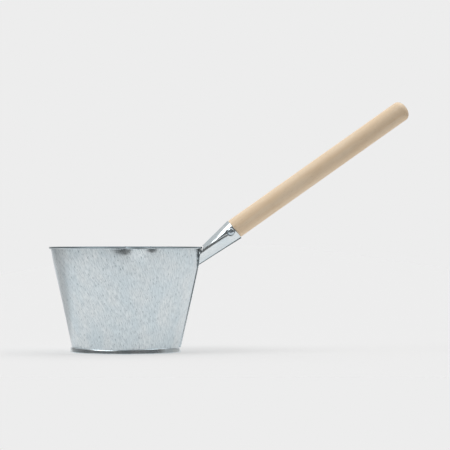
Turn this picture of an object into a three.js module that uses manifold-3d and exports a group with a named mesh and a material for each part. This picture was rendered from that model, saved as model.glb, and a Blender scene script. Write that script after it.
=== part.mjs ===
// Feed scoop: a tapered bowl of galvanised sheet, with a pouring lip pressed into its wired rim, and a
// wooden handle held by one screw in a rolled sheet socket on the bowl's side.
// Millimetres, +Z up. The handle runs out along +X and up. The bowl stands on Z = 0.
// Inside this file the bowl's axis is X = 0, Y = 0. The last lines move the whole scoop so that the
// origin is below the middle of its length.

import * as THREE from 'three';
import { mergeVertices } from 'three/addons/utils/BufferGeometryUtils.js';
import Module from 'manifold-3d';

const wasm = await Module();
wasm.setup();

// ---------------------------------------------------------------- driving dimensions

const sheet = 0.6;                 // galvanised sheet
const gap = 0.3;                   // left between pieces that touch

const bowlHeight = 145;            // floor to the top of the rim
const bottomRise = 2.6;            // floor to the underside of the bottom plate
const seamHeight = 6;              // height of the ring foot
const wallFootRadius = 73.9;       // outside of the wall where it leaves the ring foot
const wallSlope = 0.2228;          // radius gained for each millimetre of height
const wallEaseHeight = 110;        // above this the wall stands up a little straighter
const wallEase = 0.00098;

const rollRadius = 1.5;            // outside of the rolled rim
const rollEnd = -105;              // degrees, where the curl stops under the wire
const bowlSegments = 64;

const lipAngle = -78;              // degrees round from the handle to the middle of the lip
const lipHalfWidth = 17.5;         // from the middle of the lip to each crease
const lipOut = 3.2;                // how far the lip stands out
const lipDepth = 26;               // how far down the wall the lip runs
const lipSag = 0.3;                // how far the middle of the lip dips
const creaseIn = 2.8;              // how far each crease is pushed in
const creaseDepth = 14;            // how far down the wall the creases run
const creaseReach = 17;            // how far round the rim the dent beside a crease fades out
const creaseRise = 1.3;            // how far the rim rises at a crease
const lipCrowding = 0.5;           // share by which the facets close up near the lip

const sideSeamWidth = 7;
const sideSeamHeight = 1.3;

const socketMouth = new THREE.Vector3(150.1, 0, 169.6);   // middle of the socket's mouth
const socketMouthRadius = 15;
const socketMouthTilt = 39;        // degrees from level, the way the mouth faces
const socketFootHeight = 133.3;    // middle of the oval where the socket meets the wall
const socketFootHalfHeight = 13.5;
const socketFootHalfWidth = 20;
const socketRollCut = 2.4;         // how far the socket's end is cut back beside the rolled rim
const tabLow = 126.5;              // the tabs bent inwards inside the socket, which take the rivets
const tabHigh = 139;
const socketLipLow = 117.4;        // the lip folded down against the wall under the socket
const socketLipHigh = 121.4;
const socketLipHalfWidth = 9;
const lapStart = 30;               // degrees above level, the lap's edge at the wall
const lapTurn = -45;               // degrees that the lap's edge drops on the way to the mouth
const lobeRadius = 5.6;

const handleRadius = 14;
const handleTilt = 35.3;           // degrees from level
const handleLength = 290;          // socket mouth to the tip
const handleDome = 9.7;            // length of the rounded end
const tenonLength = 28;            // tapered end inside the socket
const tenonRadius = 9.5;

const screwInset = 6.4;            // from the mouth back to the screw
const screwHeadRadius = 4.7;
const screwHeadHeight = 2.6;
const screwShankRadius = 1.5;
const screwLength = 15;
const recessWidth = 1.1;
const recessLength = 4.8;
const recessDepth = 1.4;

const rivetRadius = 1.5;
const rivetHeadRadius = 3.2;
const rivetHeadHeight = 1;
const rivetSpread = 11;            // from the scoop's middle plane to each rivet
const rivetHeight = 131;

// ---------------------------------------------------------------- materials

const galvanised = () => new THREE.MeshStandardMaterial({ color: 0xbcc5c9, roughness: 0.4, metalness: 0.85 });
const zincPlated = () => new THREE.MeshStandardMaterial({ color: 0xaeb7bb, roughness: 0.25, metalness: 1 });
const steelWire = () => new THREE.MeshStandardMaterial({ color: 0x8f979b, roughness: 0.35, metalness: 1 });
const paleWood = () => new THREE.MeshStandardMaterial({ color: 0xdcc5a3, roughness: 0.65, metalness: 0 });

// ---------------------------------------------------------------- helpers

const radians = THREE.MathUtils.degToRad;
const { smoothstep } = THREE.MathUtils;
const point = (x, y) => new THREE.Vector2(x, y);

function arc(centreX, centreY, radius, from, to, steps) {
  return Array.from({ length: steps + 1 }, (_, i) => {
    const angle = radians(from + ((to - from) * i) / steps);
    return point(centreX + radius * Math.cos(angle), centreY + radius * Math.sin(angle));
  });
}

// The profile of a dome from near its edge to its crown, which stands height above base.
function dome(radius, base, height, from, steps) {
  const crown = arc(0, 0, 1, from, 90, steps).map((p) => point(radius * p.x, base + height * p.y));
  crown[steps].x = 0;
  return crown;
}

// Calls move on each vertex, which changes it in place.
function bend(geometry, move) {
  const position = geometry.getAttribute('position');
  const vertex = new THREE.Vector3();
  for (let i = 0; i < position.count; i += 1) {
    vertex.fromBufferAttribute(position, i);
    move(vertex);
    position.setXYZ(i, vertex.x, vertex.y, vertex.z);
  }
  return geometry;
}

// A turned shape round Z. The profile runs up the outside and then down the inside or the axis.
function turned(profile, segments) {
  return new THREE.LatheGeometry(profile, segments).rotateX(Math.PI / 2);
}

function solid(geometry) {
  const bare = geometry.clone();
  bare.deleteAttribute('normal');
  bare.deleteAttribute('uv');
  const merged = mergeVertices(bare, 1e-4);
  const corners = merged.getIndex().array;
  const kept = [];
  for (let i = 0; i < corners.length; i += 3) {
    const [a, b, c] = [corners[i], corners[i + 1], corners[i + 2]];
    if (a !== b && b !== c && c !== a) kept.push(a, b, c);
  }
  return new wasm.Manifold(new wasm.Mesh({
    numProp: 3,
    vertProperties: new Float32Array(merged.getAttribute('position').array),
    triVerts: new Uint32Array(kept),
  }));
}

function meshed(manifold) {
  const { vertProperties, triVerts } = manifold.getMesh();
  const geometry = new THREE.BufferGeometry();
  geometry.setAttribute('position', new THREE.BufferAttribute(vertProperties, 3));
  geometry.setIndex(new THREE.BufferAttribute(triVerts, 1));
  geometry.computeVertexNormals();
  return geometry;
}

function named(name, geometry, material) {
  const mesh = new THREE.Mesh(geometry, material);
  mesh.name = name;
  return mesh;
}

// ---------------------------------------------------------------- the bowl's shape

const rollCentreZ = bowlHeight - rollRadius;

function wallRadius(z) {
  const eased = wallEase * Math.max(0, z - wallEaseHeight) ** 2;
  return wallFootRadius + wallSlope * Math.max(0, z - seamHeight - gap) - eased;
}

const rollCentreRadius = wallRadius(rollCentreZ) - sheet + rollRadius;

// Brings the facets closer together near the lip, and presses the lip and its two creases.
function pressLip(vertex) {
  const radius = Math.hypot(vertex.x, vertex.y);
  const evenTurn = Math.atan2(vertex.y, vertex.x) - radians(lipAngle);
  const turn = evenTurn - lipCrowding * Math.sin(evenTurn);
  const nearTurn = Math.atan2(Math.sin(turn), Math.cos(turn));
  const along = Math.abs(nearTurn) * rollCentreRadius;
  const below = bowlHeight - vertex.z;
  const beyond = Math.max(0, along - lipHalfWidth);
  const lipFade = Math.max(0, 1 - below / lipDepth) ** 2;
  const creaseFade = Math.max(0, 1 - below / creaseDepth) ** 2 * Math.max(0, 1 - beyond / creaseReach) ** 2;
  const crown = along < lipHalfWidth ? Math.cos((Math.PI / 2) * (along / lipHalfWidth)) : 0;
  const moved = radius + lipOut * crown * lipFade - creaseIn * (1 - crown) * creaseFade;
  const lift = creaseRise * Math.max(0, 1 - Math.abs(along - lipHalfWidth) / (lipHalfWidth / 2)) ** 2;
  const angle = radians(lipAngle) + turn;
  vertex.x = moved * Math.cos(angle);
  vertex.y = moved * Math.sin(angle);
  vertex.z += (lift - lipSag * crown) * lipFade;
}

// A turned piece of the bowl, which follows the pressed lip where it comes near it.
function bowlPiece(profile) {
  return bend(turned(profile, bowlSegments), pressLip);
}

// The double seam's layers, each a sheet thick and a gap apart, from the wall outwards.
const hookInner = wallFootRadius + gap;
const bodyHookInner = hookInner + sheet + gap + 0.1;
const skinInner = bodyHookInner + sheet + gap;
const footRadius = skinInner + sheet;

function bowlWall() {
  const bendTop = sheet + gap + sheet;
  const bodyHook = [
    point(wallFootRadius - sheet, sheet + gap),
    point(bodyHookInner + sheet, sheet + gap),
    point(bodyHookInner + sheet, seamHeight - sheet - gap),
    point(bodyHookInner, seamHeight - sheet - gap),
    point(bodyHookInner, bendTop),
    point(wallFootRadius, bendTop),
  ];
  const rows = [seamHeight + gap, wallEaseHeight, 126, 135, 140];
  const outside = rows.map((z) => point(wallRadius(z), z));
  const inside = rows.map((z) => point(wallRadius(z) - sheet, z)).reverse();
  const underRoll = arc(rollCentreRadius, rollCentreZ, rollRadius - sheet, 180, rollEnd, 7);
  const overRoll = arc(rollCentreRadius, rollCentreZ, rollRadius, rollEnd, 180, 9);
  const loop = [...bodyHook, ...outside, ...underRoll, ...overRoll, ...inside];
  const shell = solid(bowlPiece([...loop, loop[0]]));

  // The folded side seam, raised on the outside under the handle.
  const seamRows = [seamHeight + 2 * gap, wallEaseHeight, 126, 140];
  const seamOutline = new THREE.Shape([
    ...seamRows.map((z) => point(wallRadius(z) + sideSeamHeight, z)),
    ...seamRows.map((z) => point(wallRadius(z) - sheet / 2, z)).reverse(),
  ]);
  const seam = new THREE.ExtrudeGeometry(seamOutline, { depth: sideSeamWidth, bevelEnabled: false });
  seam.translate(0, 0, -sideSeamWidth / 2).rotateX(Math.PI / 2);
  const holes = rivetSides.map((side) => solid(rivetHole(side)));
  return meshed(holes.reduce((wall, hole) => wall.subtract(hole), shell.add(solid(seam))));
}

function rimWire() {
  const wireRadius = rollRadius - sheet - gap;
  return bowlPiece(arc(rollCentreRadius, rollCentreZ, wireRadius, -180, 180, 6));
}

function bottomPlate() {
  const panelRadius = wallFootRadius - sheet - gap - sheet;
  const under = [
    point(0, bottomRise),
    point(panelRadius - bottomRise / 2, bottomRise),
    point(panelRadius, 0),
    point(footRadius - gap, 0),
    point(footRadius, gap),
  ];
  const outerSkin = [
    point(footRadius, seamHeight - gap),
    point(footRadius - gap, seamHeight),
    point(hookInner, seamHeight),
    point(hookInner, 2 * sheet + 2 * gap),
    point(hookInner + sheet, 2 * sheet + 2 * gap),
    point(hookInner + sheet, seamHeight - sheet),
    point(skinInner, seamHeight - sheet),
    point(skinInner, sheet),
  ];
  const over = [
    point(panelRadius + sheet, sheet),
    point(panelRadius - bottomRise / 2 + sheet, bottomRise + sheet),
    point(0, bottomRise + sheet),
  ];
  return bowlPiece([...under, ...outerSkin, ...over]);
}

// ---------------------------------------------------------------- socket

const mouthUp = new THREE.Vector3(-Math.sin(radians(socketMouthTilt)), 0, Math.cos(radians(socketMouthTilt)));
const handleAlong = new THREE.Vector3(Math.cos(radians(handleTilt)), 0, Math.sin(radians(handleTilt)));
const socketFoot = new THREE.Vector3(wallRadius(socketFootHeight), 0, socketFootHeight);
const socketLength = socketMouth.distanceTo(socketFoot);

// A point of the socket's outside. turn is 0 on the near side, -Y, and a quarter turn at the top;
// share is 0 at the wall and 1 at the mouth; lift moves the point out of the surface.
function socketPoint(turn, share, lift) {
  const side = Math.cos(turn);
  const up = Math.sin(turn);
  const footY = -socketFootHalfWidth * side * (1 + 0.1 * up);
  const footZ = socketFootHeight + socketFootHalfHeight * up;
  const overSeam = (sideSeamHeight + gap) * smoothstep(Math.abs(up), 0.5, 0.9);
  const pastRoll = socketRollCut * smoothstep(up, 0.35, 0.6) * (1 - smoothstep(up, 0.9, 1));
  const off = gap + overSeam + pastRoll;
  const footX = Math.sqrt((wallRadius(footZ) + wallLineEase(footZ) + off) ** 2 - footY ** 2);
  const foot = new THREE.Vector3(footX, footY, footZ);
  const mouth = socketMouth.clone().addScaledVector(mouthUp, socketMouthRadius * up);
  mouth.y -= socketMouthRadius * side;
  const out = mouthUp.clone().multiplyScalar(up);
  out.y -= side;
  return foot.lerp(mouth, share).addScaledVector(out, lift);
}

// Beside the rolled rim the socket follows the straight line of the wall.
function wallLineEase(z) {
  return wallEase * Math.max(0, z - wallEaseHeight) ** 2;
}

// The turn at which the lapped edge lies, with the round lobe under the screw.
function lapEdge(share) {
  const plain = radians(lapStart + lapTurn * share);
  const fromScrew = (1 - share) * socketLength - screwInset;
  if (Math.abs(fromScrew) >= lobeRadius) return plain;
  const drop = Math.sqrt(lobeRadius ** 2 - fromScrew ** 2) / socketMouthRadius;
  return Math.min(plain, -Math.asin(drop));
}

function lapLift(fromEdge) {
  return sheet * (1 - smoothstep(fromEdge, radians(20), radians(75)));
}

function socketTube() {
  const around = 34;
  const screwShare = 1 - screwInset / socketLength;
  const lobeShare = lobeRadius / socketLength;
  const lobeStations = [-1, -0.8, -0.4, 0, 0.4, 0.8, 1].map((k) => screwShare + k * lobeShare);
  const stations = [0, 0.25, 0.5, 0.7, ...lobeStations, 1];
  const positions = [];
  for (const share of stations) {
    const edge = lapEdge(share);
    for (let k = 0; k < around; k += 1) {
      const fromEdge = (2 * Math.PI * k) / (around - 1);
      const outer = socketPoint(edge + fromEdge, share, k === around - 1 ? 0 : lapLift(fromEdge));
      const inner = socketPoint(edge + fromEdge, share, -sheet);
      positions.push(...outer.toArray(), ...inner.toArray());
    }
  }
  const at = (station, k, layer) => 2 * (station * around + (k % around)) + layer;
  const index = [];
  const quad = (a, b, c, d) => index.push(a, c, b, a, d, c);
  const last = stations.length - 1;
  for (let k = 0; k < around; k += 1) {
    for (let s = 0; s < last; s += 1) {
      quad(at(s, k, 0), at(s, k + 1, 0), at(s + 1, k + 1, 0), at(s + 1, k, 0));
      quad(at(s, k, 1), at(s + 1, k, 1), at(s + 1, k + 1, 1), at(s, k + 1, 1));
    }
    quad(at(0, k, 0), at(0, k, 1), at(0, k + 1, 1), at(0, k + 1, 0));
    quad(at(last, k, 0), at(last, k + 1, 0), at(last, k + 1, 1), at(last, k, 1));
  }
  const geometry = new THREE.BufferGeometry();
  geometry.setAttribute('position', new THREE.Float32BufferAttribute(positions, 3));
  geometry.setIndex(index);
  return geometry;
}

// A thin plate bent onto the wall: from y0 to y1 and z0 to z1, its back off by offIn and its front by offOut.
function wallTab(y0, y1, z0, z1, offIn, offOut) {
  const plate = new THREE.BoxGeometry(1, 1, 1, 1, 6, 3);
  return bend(plate, (vertex) => {
    const off = vertex.x < 0 ? offIn : offOut;
    vertex.y = y0 + (y1 - y0) * (vertex.y + 0.5);
    vertex.z = z0 + (z1 - z0) * (vertex.z + 0.5);
    vertex.x = Math.sqrt((wallRadius(vertex.z) + off) ** 2 - vertex.y ** 2);
  });
}

function handleSocket() {
  const tabInner = sideSeamWidth / 2 + 1.5;
  const tabOuter = socketFootHalfWidth - sheet / 2;
  const lipOff = sideSeamHeight + gap;
  const parts = [
    wallTab(-tabOuter, -tabInner, tabLow, tabHigh, gap, gap + sheet),
    wallTab(tabInner, tabOuter, tabLow, tabHigh, gap, gap + sheet),
    wallTab(-socketLipHalfWidth, socketLipHalfWidth, socketLipLow, socketLipHigh, lipOff, lipOff + sheet),
  ];
  const joined = parts.reduce((socket, part) => socket.add(solid(part)), solid(socketTube()));
  const drilled = rivetSides.reduce((socket, side) => socket.subtract(solid(rivetHole(side))), joined);
  const screwHole = new THREE.CylinderGeometry(screwShankRadius + gap, screwShankRadius + gap, 20, 16);
  screwHole.translate(screwCentre.x, screwCentre.y, screwCentre.z);
  return meshed(drilled.subtract(solid(screwHole)));
}

// ---------------------------------------------------------------- fasteners

const rivetSides = [-1, 1];

function rivetPlace(side) {
  const y = side * rivetSpread;
  const radius = wallRadius(rivetHeight);
  const turn = Math.asin(y / radius);
  const slope = Math.atan(wallSlope);
  const out = new THREE.Vector3(
    Math.cos(turn) * Math.cos(slope), Math.sin(turn) * Math.cos(slope), -Math.sin(slope));
  const place = new THREE.Object3D();
  place.position.set(radius * Math.cos(turn), y, rivetHeight);
  place.quaternion.setFromUnitVectors(new THREE.Vector3(0, 0, 1), out);
  place.updateMatrix();
  return place;
}

function rivetHole(side) {
  const cutter = new THREE.CylinderGeometry(rivetRadius + gap, rivetRadius + gap, 6, 16);
  return cutter.rotateX(Math.PI / 2).applyMatrix4(rivetPlace(side).matrix);
}

// The rivet stands along its own Z: the set head inside the bowl, the formed head inside the socket.
function rivet(side) {
  const insideHead = -sheet - gap;
  const outsideHead = 2 * gap + sheet;
  const profile = [
    point(0, insideHead - rivetHeadHeight),
    point(rivetHeadRadius * 0.7, insideHead - rivetHeadHeight),
    point(rivetHeadRadius, insideHead - rivetHeadHeight * 0.4),
    point(rivetHeadRadius, insideHead),
    point(rivetRadius, insideHead),
    point(rivetRadius, outsideHead),
    point(rivetHeadRadius * 0.8, outsideHead),
    point(rivetHeadRadius * 0.6, outsideHead + rivetHeadHeight),
    point(0, outsideHead + rivetHeadHeight),
  ];
  const mesh = named(side < 0 ? 'socket_rivet_near' : 'socket_rivet_far', turned(profile, 16), zincPlated());
  const place = rivetPlace(side);
  mesh.position.copy(place.position);
  mesh.quaternion.copy(place.quaternion);
  return mesh;
}

// The screw goes straight in from the near side, -Y. screwCentre lies on the socket's lapped surface.
const screwCentre = socketMouth.clone().addScaledVector(handleAlong, -screwInset);
screwCentre.y = socketPoint(0, 1 - screwInset / socketLength, sheet).y;

function handleScrew() {
  const profile = [
    point(0, -screwLength),
    point(screwShankRadius, -screwLength + 4),
    point(screwShankRadius, gap),
    point(screwHeadRadius, gap),
    ...dome(screwHeadRadius, gap, screwHeadHeight, 12, 5),
  ];
  const bar = () => new THREE.BoxGeometry(recessWidth, recessLength, 2 * recessDepth);
  const cross = [bar(), bar().rotateZ(Math.PI / 2)];
  const head = gap + screwHeadHeight;
  const slotted = cross.reduce(
    (screw, cut) => screw.subtract(solid(cut.translate(0, 0, head))),
    solid(turned(profile, 20)));
  const mesh = named('handle_screw', meshed(slotted), zincPlated());
  mesh.position.copy(screwCentre);
  mesh.rotation.x = Math.PI / 2;
  return mesh;
}

// ---------------------------------------------------------------- handle

// The handle stands along its own Z with Z = 0 at the socket's mouth, and is tilted into place.
function woodenHandle() {
  const domeStart = handleLength - handleDome;
  const profile = [
    point(0, -tenonLength),
    point(tenonRadius - 1, -tenonLength),
    point(tenonRadius, -tenonLength + 1.5),
    point(handleRadius, 1.5),
    ...dome(handleRadius, domeStart, handleDome, 0, 6),
  ];
  const place = new THREE.Object3D();
  place.position.copy(socketMouth);
  place.rotation.y = Math.PI / 2 - radians(handleTilt);
  place.updateMatrix();
  const pilotDepth = screwLength + 1;
  const pilotRadius = screwShankRadius + gap;
  const pilot = new THREE.CylinderGeometry(pilotRadius, pilotRadius, 2 * pilotDepth, 16);
  pilot.translate(screwCentre.x, screwCentre.y, screwCentre.z).applyMatrix4(place.matrix.clone().invert());
  const mesh = named('wooden_handle', meshed(solid(turned(profile, 28)).subtract(solid(pilot))), paleWood());
  mesh.position.copy(place.position);
  mesh.rotation.copy(place.rotation);
  return mesh;
}

// ---------------------------------------------------------------- assembly

const scoop = new THREE.Group();
scoop.add(
  named('bowl_wall', bowlWall(), galvanised()),
  named('rim_wire', rimWire(), steelWire()),
  named('bottom_plate', bottomPlate(), galvanised()),
  named('handle_socket', handleSocket(), galvanised()),
  ...rivetSides.map(rivet),
  handleScrew(),
  woodenHandle(),
);
const bounds = new THREE.Box3().setFromObject(scoop, true);
scoop.position.x = -(bounds.min.x + bounds.max.x) / 2;

export default scoop;
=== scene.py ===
# %% [markdown]
# # A feed scoop in galvanised sheet and pale wood
#
# The scoop is four things: a tapered bowl of thin zinc-coated steel with a rolled rim and a pouring lip,
# a seamed bottom, a rolled sheet socket on its side, and a round wooden handle held in it by one screw.
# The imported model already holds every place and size. This lesson builds finer surfaces in the same
# places and gives each one the finish of the real thing. Everything is in metres.

# %% Load the fixed frame
import math

import bmesh
import bpy
import numpy as np
from mathutils import Matrix, Vector


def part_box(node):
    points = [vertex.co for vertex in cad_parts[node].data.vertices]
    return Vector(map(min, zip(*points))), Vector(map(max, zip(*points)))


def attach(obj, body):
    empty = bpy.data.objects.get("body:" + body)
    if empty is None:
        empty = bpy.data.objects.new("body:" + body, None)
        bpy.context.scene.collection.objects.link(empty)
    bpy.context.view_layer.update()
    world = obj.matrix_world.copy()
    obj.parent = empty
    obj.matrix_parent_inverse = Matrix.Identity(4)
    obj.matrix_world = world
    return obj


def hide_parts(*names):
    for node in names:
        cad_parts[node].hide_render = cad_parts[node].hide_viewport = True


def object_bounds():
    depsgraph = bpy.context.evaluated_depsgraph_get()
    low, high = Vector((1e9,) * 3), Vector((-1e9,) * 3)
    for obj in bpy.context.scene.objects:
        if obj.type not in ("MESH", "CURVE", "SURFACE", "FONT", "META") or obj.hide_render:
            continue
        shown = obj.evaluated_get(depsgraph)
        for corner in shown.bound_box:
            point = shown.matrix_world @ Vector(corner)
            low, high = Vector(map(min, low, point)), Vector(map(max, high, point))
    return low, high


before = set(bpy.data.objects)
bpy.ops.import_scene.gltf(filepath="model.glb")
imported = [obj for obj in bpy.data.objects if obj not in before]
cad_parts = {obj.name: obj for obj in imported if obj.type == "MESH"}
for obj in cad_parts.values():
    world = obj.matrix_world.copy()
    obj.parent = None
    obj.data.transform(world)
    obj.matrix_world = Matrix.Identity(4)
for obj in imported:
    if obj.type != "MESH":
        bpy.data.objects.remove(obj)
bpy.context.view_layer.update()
BODY = "root"
MM = 0.001

# %% [markdown]
# ## Driving dimensions
#
# The bowl's axis and foot, the socket's width, the handle's thickness and the places of the screw and the
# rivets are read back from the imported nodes' boxes, so the fine surfaces stay where those are. What a box
# can't say, such as how deep the lip is pressed, is a named value in millimetres.

# %% Sizes read from the frame
foot_low, foot_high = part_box("bottom_plate")
AXIS_X = (foot_low.x + foot_high.x) / 2
FOOT_RADIUS = (foot_high.x - foot_low.x) / 2
print(f"bowl axis at x {AXIS_X:.4f}, foot radius {FOOT_RADIUS:.4f}")

# %% Sizes of the bowl
SHEET = 0.5 * MM
BOWL_HEIGHT = 145 * MM
SEAM_HEIGHT = foot_high.z
SEAM_DEPTH = 2.8 * MM
SEAM_GAP = 0.3 * MM
WALL_FOOT_RADIUS = FOOT_RADIUS - SEAM_DEPTH
# The slope is the radius gained for each unit of height. Above the ease height the wall stands straighter.
WALL_SLOPE = 0.2228
WALL_EASE_HEIGHT = 110 * MM
WALL_EASE = 0.00098 / MM
# The rolled rim, the angle in degrees at which its curl stops, and the wire inside it.
ROLL_RADIUS = 1.5 * MM
ROLL_INSET = 0.6 * MM
ROLL_END = -118
WIRE_RADIUS = 0.9 * MM

# The lip's angle is in degrees round from the handle. Its half width runs from its middle to each crease.
LIP_ANGLE = -78
LIP_HALF_WIDTH = 17.5 * MM
LIP_OUT = 3.2 * MM
LIP_DEPTH = 26 * MM
LIP_SAG = 0.5 * MM
CREASE_RISE = 1.3 * MM
# The dent beside each crease of the lip, away from the handle and then towards it.
CREASE_IN = (4.2 * MM, 3.5 * MM)
CREASE_DEPTH = (12 * MM, 9 * MM)
CREASE_REACH = (22 * MM, 13 * MM)


def wall_radius(z):
    """Outside radius of the bowl's wall at height z."""
    eased = WALL_EASE * np.maximum(0, z - WALL_EASE_HEIGHT) ** 2
    return WALL_FOOT_RADIUS + WALL_SLOPE * np.maximum(0, z - SEAM_HEIGHT - SEAM_GAP) - eased


ROLL_Z = BOWL_HEIGHT - ROLL_RADIUS
ROLL_CENTRE = float(wall_radius(ROLL_Z)) - ROLL_INSET + ROLL_RADIUS
print(f"wall {float(wall_radius(0.01)) / MM:.1f} to {float(wall_radius(0.14)) / MM:.1f} mm in radius")

# %% [markdown]
# ## Camera
#
# A long lens a few metres away keeps the rim nearly flat to the eye, as in a catalogue picture. The
# camera stands level, a little above the rim, straight beside the scoop. The lens shift only frames it.

# %% The camera
CAMERA_DISTANCE = 3.345
CAMERA_HEIGHT = 0.160
CAMERA_ASIDE = 0.137
LENS = 193.9
LENS_SHIFT = 0.0242

camera_data = bpy.data.cameras.new("camera")
camera_data.lens = LENS
camera_data.shift_y = LENS_SHIFT
camera_data.clip_end = 100
camera = bpy.data.objects.new("camera", camera_data)
bpy.context.scene.collection.objects.link(camera)
camera.location = (AXIS_X + CAMERA_ASIDE, -CAMERA_DISTANCE, CAMERA_HEIGHT)
camera.rotation_euler = (math.radians(90), 0, 0)
bpy.context.scene.camera = camera
print("camera at", [round(v, 3) for v in camera.location])

# %% [markdown]
# ## Helpers for node trees
#
# A material is a tree of nodes. One function adds a node with its settings, and takes a number, a colour, a
# socket or another node for each input. Colours are written as the sRGB hex values that a paint chart or a
# picture editor shows, and turned to the linear light that the renderer works in.

# %% Node and colour helpers


def linear(hex_colour):
    """An sRGB hex string as linear red, green, blue and alpha."""
    channels = [int(hex_colour[i:i + 2], 16) / 255 for i in (1, 3, 5)]
    return [c / 12.92 if c <= 0.04045 else ((c + 0.055) / 1.055) ** 2.4 for c in channels] + [1.0]


def add(tree, kind, inputs=None, **settings):
    """Add a node and link or set its inputs. A node given as a value means its first live output."""
    node = tree.nodes.new(kind)
    for name, value in settings.items():
        setattr(node, name, value)
    live = {}
    for place, socket in enumerate(node.inputs):
        if socket.enabled:
            live.setdefault(socket.name, socket)
            live[place] = socket
    for name, value in (inputs or {}).items():
        if isinstance(value, bpy.types.Node):
            value = next(output for output in value.outputs if output.enabled)
        if isinstance(value, bpy.types.NodeSocket):
            tree.links.new(value, live[name])
        else:
            live[name].default_value = value
    return node


def new_material(name):
    material = bpy.data.materials.new(name)
    material.use_nodes = True
    tree = material.node_tree
    return material, tree, tree.nodes["Principled BSDF"]


def layered(tree, base, features):
    """Lay one feature over the last. Each has a pattern, the values at which it starts and is full, how
    much of it shows then, and its colour."""
    colour = linear(base)
    for pattern, start, full, most, shade in features:
        share = add(tree, "ShaderNodeMapRange", {
            "Value": pattern, "From Min": start, "From Max": full, "To Max": most},
            interpolation_type="SMOOTHSTEP")
        colour = add(tree, "ShaderNodeMix", {
            "Factor": share, "A": colour, "B": linear(shade)}, data_type="RGBA")
    return colour


# %% [markdown]
# ## Galvanised sheet
#
# Hot-dip galvanised steel comes out of the zinc bath with a coat of zinc about 20 micrometres thick. It
# is a metal, so its colour is the colour of its reflections: a light, slightly blue grey. The coat freezes
# in crystals, which give blotches a few centimetres wide, and it is wiped and rolled as it leaves the bath,
# which leaves slanting streaks and small dark pits. Real streaks are a few tenths of a millimetre wide. They
# are drawn 1.2 mm wide here, because finer ones don't show from three metres away. The coordinates are the
# sheet's own, in metres along and across it, so the pattern follows the metal round the bowl. A Mapping node
# of the Texture type takes the size of a pattern's grain as its scale and the grain's direction as its turn.
# The socket, the bottom and the seam are drawn as brighter stock, with fainter marks and more gloss.

# %% The galvanised finish
ZINC_BRIGHT = "#F0F6F8"
ZINC_BLUE = "#E3EEF3"
ZINC_STREAK = "#B4C1C7"
ZINC_PIT = "#6B7B86"
# The colour of the painted shade along the rim's bead.
ZINC_PAINTED_SHADE = "#6F7A80"
# Each pattern of the coat has where it starts, its turn in degrees, its grain in metres, and the detail and
# roughness of its noise: blotches 30 to 45 mm across, streaks 9 mm long and pits 1 by 5.6 mm.
ZINC_PATTERNS = (
    ((0, 0, 0), 20, (0.030, 0.045, 1), 2, 0.5),
    ((0, 0, 0), 19, (0.0012, 0.0090, 1), 3, 0.6),
    ((0.4, 0.2, 0), 19, (0.0010, 0.0056, 1), 1, 0.5))
# The line of painted shade on the rim's bead is full this far from its middle, and gone a little further out.
PAINTED_SHADE_FULL, PAINTED_SHADE_GONE = 0.0022, 0.0026


def galvanised(name, streak_depth, pit_depth, roughness, painted_shade_line):
    """Galvanised sheet. The depths are how strongly the streaks and pits show, from 0 to 1. A line of painted
    shade, a dark colour standing in for the dark band along the top of the rim's bead, has its middle at the
    sheet's v coordinate given by the last argument, in metres."""
    material, tree, shader = new_material(name)
    sheet = add(tree, "ShaderNodeUVMap", uv_map="sheet")
    noises = []
    for start, turn, grain, detail, noise_roughness in ZINC_PATTERNS:
        place = add(tree, "ShaderNodeMapping", {
            "Vector": sheet, "Location": start, "Rotation": (0, 0, math.radians(turn)), "Scale": grain},
            vector_type="TEXTURE")
        noises.append(add(tree, "ShaderNodeTexNoise", {
            "Vector": place, "Scale": 1, "Detail": detail, "Roughness": noise_roughness}))
    blotches, streaks, pits = noises
    marked = layered(tree, ZINC_BLUE, (
        (blotches, 0.32, 0.68, 1.0, ZINC_BRIGHT),
        (streaks, 0.36, 0.68, streak_depth, ZINC_STREAK),
        (pits, 0.62, 0.76, pit_depth, ZINC_PIT)))

    # A line of painted shade: a dark colour that stands in for the dark band along the top of the rim's bead.
    down = add(tree, "ShaderNodeSeparateXYZ", {"Vector": sheet})
    from_line = add(tree, "ShaderNodeMath", {0: down.outputs["Y"], 1: painted_shade_line}, operation="SUBTRACT")
    distance = add(tree, "ShaderNodeMath", {0: from_line}, operation="ABSOLUTE")
    painted_shade_share = add(tree, "ShaderNodeMapRange", {
        "Value": distance, "From Min": PAINTED_SHADE_GONE, "From Max": PAINTED_SHADE_FULL}, interpolation_type="SMOOTHSTEP")
    with_painted_shade = add(tree, "ShaderNodeMix", {
        "Factor": painted_shade_share, "A": marked, "B": linear(ZINC_PAINTED_SHADE)}, data_type="RGBA")
    tree.links.new(with_painted_shade.outputs[2], shader.inputs["Base Color"])

    # The blotches also differ in gloss.
    gloss = add(tree, "ShaderNodeMapRange", {
        "Value": blotches, "From Min": 0.25, "From Max": 0.75, "To Min": roughness - 0.04,
        "To Max": roughness + 0.05})
    tree.links.new(gloss.outputs[0], shader.inputs["Roughness"])
    shader.inputs["Metallic"].default_value = 1.0
    bump = add(tree, "ShaderNodeBump", {"Height": streaks, "Strength": 0.10, "Distance": 0.00008})
    tree.links.new(bump.outputs["Normal"], shader.inputs["Normal"])
    return material


# The bowl's line of painted shade lies on the bead of its rolled rim. The bright stock's lies past its edge,
# so it has none.
BOWL_ZINC = galvanised(
    "hot_dip_galvanised_sheet", streak_depth=0.62, pit_depth=0.88, roughness=0.32, painted_shade_line=0.1535)
BRIGHT_ZINC = galvanised(
    "bright_galvanised_sheet", streak_depth=0.28, pit_depth=0.15, roughness=0.17, painted_shade_line=1.0)
print("made", BOWL_ZINC.name, BRIGHT_ZINC.name)

# %% [markdown]
# ## Zinc-plated steel and plain wire
#
# The screw and the rivets are bright zinc plate: smooth, with a faint blue cast. The wire in the rim is
# plain drawn steel and hardly shows. Both wander a little in tone over a few millimetres.

# %% The fastener and wire finishes


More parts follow.
